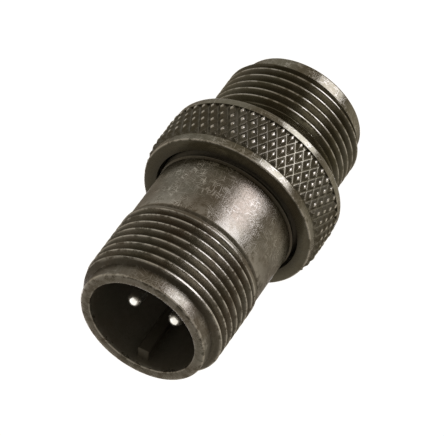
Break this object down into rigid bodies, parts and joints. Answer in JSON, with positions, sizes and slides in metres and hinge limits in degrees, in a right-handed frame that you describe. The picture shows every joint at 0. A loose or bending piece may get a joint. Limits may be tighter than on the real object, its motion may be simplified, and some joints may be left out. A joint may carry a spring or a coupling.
{
  "type": "aviation plug connector",
  "caption": "Threaded circular receptacle with a keyed socket and round-tipped pins; its knurled rear shell unscrews for wiring.",
  "frame": {"origin": "centre of the rear face, on the connector's axis", "axes": "+Z along the axis towards the open socket, +Y towards the polarising key, the two pins on the X axis"},
  "size_m": [0.0202, 0.0202, 0.0343],
  "materials": {
    "plated_shell": "dark olive-grey plating, satin, turned",
    "insulator": "moulded, matte",
    "contact": "silver plated, polished",
    "spring_steel": "tempered spring steel"
  },
  "bodies": {
    "rear_body": {"rear_shell": "plated_shell"},
    "ring_body": {"retaining_ring": "spring_steel", "backing_washer": "spring_steel"},
    "front_body": {"front_shell": "plated_shell", "front_insert": "insulator", "rear_insert": "insulator", "pin_contact_a": "contact", "pin_contact_b": "contact"}
  },
  "joints": [
    {"name": "unscrew_lift", "type": "slide", "parent": "rear_body", "child": "ring_body", "axis": [0, 0, 1], "range_m": [0, 0.0037]},
    {"name": "unscrew_turn", "type": "hinge", "parent": "ring_body", "child": "front_body", "pos_m": [0, 0, 0], "axis": [0, 0, 1], "range_deg": [0, 1260]}
  ],
  "couplings": [
    {"joint": "unscrew_lift", "follows": "unscrew_turn", "m_per_rad": 0.00016844}
  ]
}
